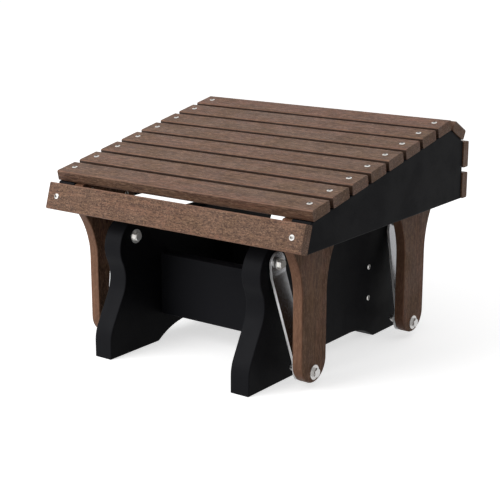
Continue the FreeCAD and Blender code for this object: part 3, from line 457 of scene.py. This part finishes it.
def nylon(name):
    """Off-white nylon with faint stains."""
    material, tree, shader, where = new_material(name)
    wear = placed_effect(tree, HANDLING_WEAR, {"Place": where["Object"], "Size": NYLON_CLOUDS})
    color = tinted(tree, NYLON_WHITE, wear["Clouds"], 0.6, NYLON_STAINED)
    tree.links.new(color, shader.inputs["Base Color"])
    tree.links.new(spread(tree, wear["Clouds"], 0.0, 1.0, 0.38, 0.52), shader.inputs["Roughness"])
    bumped(tree, shader, wear["Dust"], NYLON_RELIEF)
    return material


def dress(node_name, material):
    """Gives a carried-over node this material in every slot that it has."""
    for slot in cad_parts[node_name].material_slots:
        slot.material = material


# How red each seat slat looks, from the front one to the highest one.
SLAT_REDNESS = (0.70, 0.45, 0.40, 0.45, 0.60, 0.55, 0.65, 0.95)

# Painted shade on the slats' narrow sides, how far they go over to dark brown: the front slat's shows, and
# the others stand in the dark gaps, whose shade is painted on them.
FRONT_SIDE_PAINTED_SHADE = 0.30
GAP_SIDE_PAINTED_SHADE = 0.85

# Each board has its own number, which gives it its own part of the grain.
# Each board's brightness factor stands in for the light that falls on it: painted light.
for number, (slat, redness) in enumerate(zip(SEAT_SLATS, SLAT_REDNESS), start=1):
    painted_side_light = FRONT_SIDE_PAINTED_SHADE if number == 1 else GAP_SIDE_PAINTED_SHADE
    dress(slat, brown_lumber(
        f"brown_{slat}", float(number), SEAT_SLOPE, redness=redness, speckle=0.72, painted_light_factor=0.92, length=3.0,
        painted_side_light=painted_side_light,
    ))
dress("front_apron", brown_lumber(
    "brown_front_apron", 9.0, APRON_LEAN, redness=0.45, speckle=0.85, painted_light_factor=1.15,
))
for number, (slat, lean) in enumerate(zip(BACK_SLATS, (CREST_LEAN, UPRIGHT, UPRIGHT)), start=10):
    dress(slat, brown_lumber(f"brown_{slat}", float(number), lean))
for number, leg in enumerate(HANGER_LEGS, start=13):
    # The legs' narrow sides are painted lighter: painted light on their front sides.
    dress(leg, brown_lumber(
        f"brown_{leg}", float(number), upright=1.0, redness=0.55, speckle=0.60, painted_light_factor=1.12, length=2.2,
        gloss=LEG_GLOSS, painted_side_light=0.40, painted_side_color=BROWN_WORN_AND_PAINTED_LIGHT,
    ))
for number, rail in enumerate(SIDE_RAILS, start=20):
    dress(rail, black_lumber(f"black_{rail}", float(number)))
for number, panel in enumerate(BASE_PANELS, start=22):
    dress(panel, black_lumber(f"black_{panel}", float(number), upright=1.0))
# The stretchers are painted much lighter, standing in for light on them under the seat.
for number, stretcher in enumerate(STRETCHERS, start=24):
    dress(stretcher, black_lumber(f"black_{stretcher}", float(number), painted_light_factor=2.2))

ARM_STEEL = arm_steel("drawn_arm_steel")
LOWER_STEEL = bolt_steel("plated_bolt_steel", STEEL_PLATED, 0.20)
# The upper bolts take a lighter copy of the bolt steel: painted light on them.
UPPER_STEEL_PAINTED_LIT = bolt_steel("upper_steel_painted_lit", STEEL_SCREW, 0.38)
BUSHING_NYLON = nylon("white_bushing_nylon")
for arm in SWING_ARMS:
    dress(arm, ARM_STEEL)
for hardware in LOWER_HARDWARE:
    dress(hardware, LOWER_STEEL)
for hardware in UPPER_HARDWARE:
    dress(hardware, UPPER_STEEL_PAINTED_LIT)
for screws, lean in SCREW_LEANS.items():
    dress(screws, screw_steel(f"bright_{screws}", lean))
for bushings in ARM_BUSHINGS:
    dress(bushings, BUSHING_NYLON)


# Studio

FLOOR_SIZE = 60.0
FLOOR_WHITE = 0.90
FLOOR_LIFT = 0.62
FLOOR_BOUNCE = 0.30

# Strength of the world's light from near the horizon, and from overhead.
AMBIENT_LOW = 0.10
AMBIENT_HIGH = 0.62
NEAR_HORIZON = 0.1
NEAR_OVERHEAD = 0.9

KEY_PLACE = Vector((-1.30, -2.35, 1.60))
KEY_AIM = Vector((0.0, 0.0, 0.25))
KEY_SIZE = 2.2
KEY_POWER = 62.0

CAMERA_PLACE = (1.2920, -1.7879, 0.7440)
CAMERA_DIP = 14.7188
CAMERA_TURN = 36.42
CAMERA_LENS = 89.14
CAMERA_SENSOR = 36.0
CAMERA_REACH = 200.0


def grey(value):
    """An opaque grey of this brightness."""
    return (value, value, value, 1.0)


def sees_background(tree):
    """1 for the rays that show the background: the camera's own, and those off metal or through glass."""
    path = tree.nodes.new("ShaderNodeLightPath").outputs
    seen = math_node(tree, "MAXIMUM", path["Is Camera Ray"], path["Is Glossy Ray"])
    return math_node(tree, "MAXIMUM", seen, path["Is Transmission Ray"])


def make_world():
    """Soft white light, weaker near the horizon than overhead, behind a white background."""
    world = bpy.data.worlds.new("studio")
    world.use_nodes = True
    tree = world.node_tree
    background = tree.nodes["Background"]
    background.inputs["Color"].default_value = grey(1.0)
    direction = tree.nodes.new("ShaderNodeTexCoord").outputs["Generated"]
    height = node(tree, "SeparateXYZ", {0: direction}).outputs[2]
    ambient = spread(tree, height, NEAR_HORIZON, NEAR_OVERHEAD, AMBIENT_LOW, AMBIENT_HIGH)
    strength = math_node(tree, "MAXIMUM", ambient, sees_background(tree))
    tree.links.new(strength, background.inputs["Strength"])
    bpy.context.scene.world = world


def make_floor():
    """A plain floor that looks white and keeps the soft shadow, but throws less light back than it shows."""
    half = FLOOR_SIZE / 2
    mesh = bpy.data.meshes.new("floor")
    corners = [(-half, -half, 0.0), (half, -half, 0.0), (half, half, 0.0), (-half, half, 0.0)]
    mesh.from_pydata(corners, [], [(0, 1, 2, 3)])
    floor = bpy.data.objects.new("floor", mesh)
    bpy.context.scene.collection.objects.link(floor)
    material = bpy.data.materials.new("floor_white")
    material.use_nodes = True
    tree = material.node_tree
    shader = tree.nodes["Principled BSDF"]
    seen = sees_background(tree)
    tree.links.new(mixed(tree, seen, grey(FLOOR_BOUNCE), grey(FLOOR_WHITE)), shader.inputs["Base Color"])
    shader.inputs["Roughness"].default_value = 1.0
    shader.inputs["Specular IOR Level"].default_value = 0.0
    shader.inputs["Emission Color"].default_value = grey(1.0)
    tree.links.new(math_node(tree, "MULTIPLY", seen, FLOOR_LIFT), shader.inputs["Emission Strength"])
    mesh.materials.append(material)


def make_key_light():
    """One wide soft light from the front left, above the seat."""
    light = bpy.data.lights.new("key", "AREA")
    light.shape = "SQUARE"
    light.size = KEY_SIZE
    light.energy = KEY_POWER
    key = bpy.data.objects.new("key", light)
    key.location = KEY_PLACE
    key.rotation_euler = (KEY_AIM - KEY_PLACE).to_track_quat("-Z", "Y").to_euler()
    bpy.context.scene.collection.objects.link(key)


def make_camera():
    """The photograph's viewpoint: a long lens from the front right, a little above the seat."""
    lens = bpy.data.cameras.new("photo_camera")
    lens.sensor_width = CAMERA_SENSOR
    lens.lens = CAMERA_LENS
    lens.clip_end = CAMERA_REACH
    camera = bpy.data.objects.new("photo_camera", lens)
    camera.location = CAMERA_PLACE
    camera.rotation_euler = (math.radians(90.0 - CAMERA_DIP), 0.0, math.radians(CAMERA_TURN))
    bpy.context.scene.collection.objects.link(camera)
    bpy.context.scene.camera = camera


make_world()
make_floor()
make_key_light()
make_camera()
bpy.context.scene.view_settings.view_transform = "Standard"

bpy.context.view_layer.update()
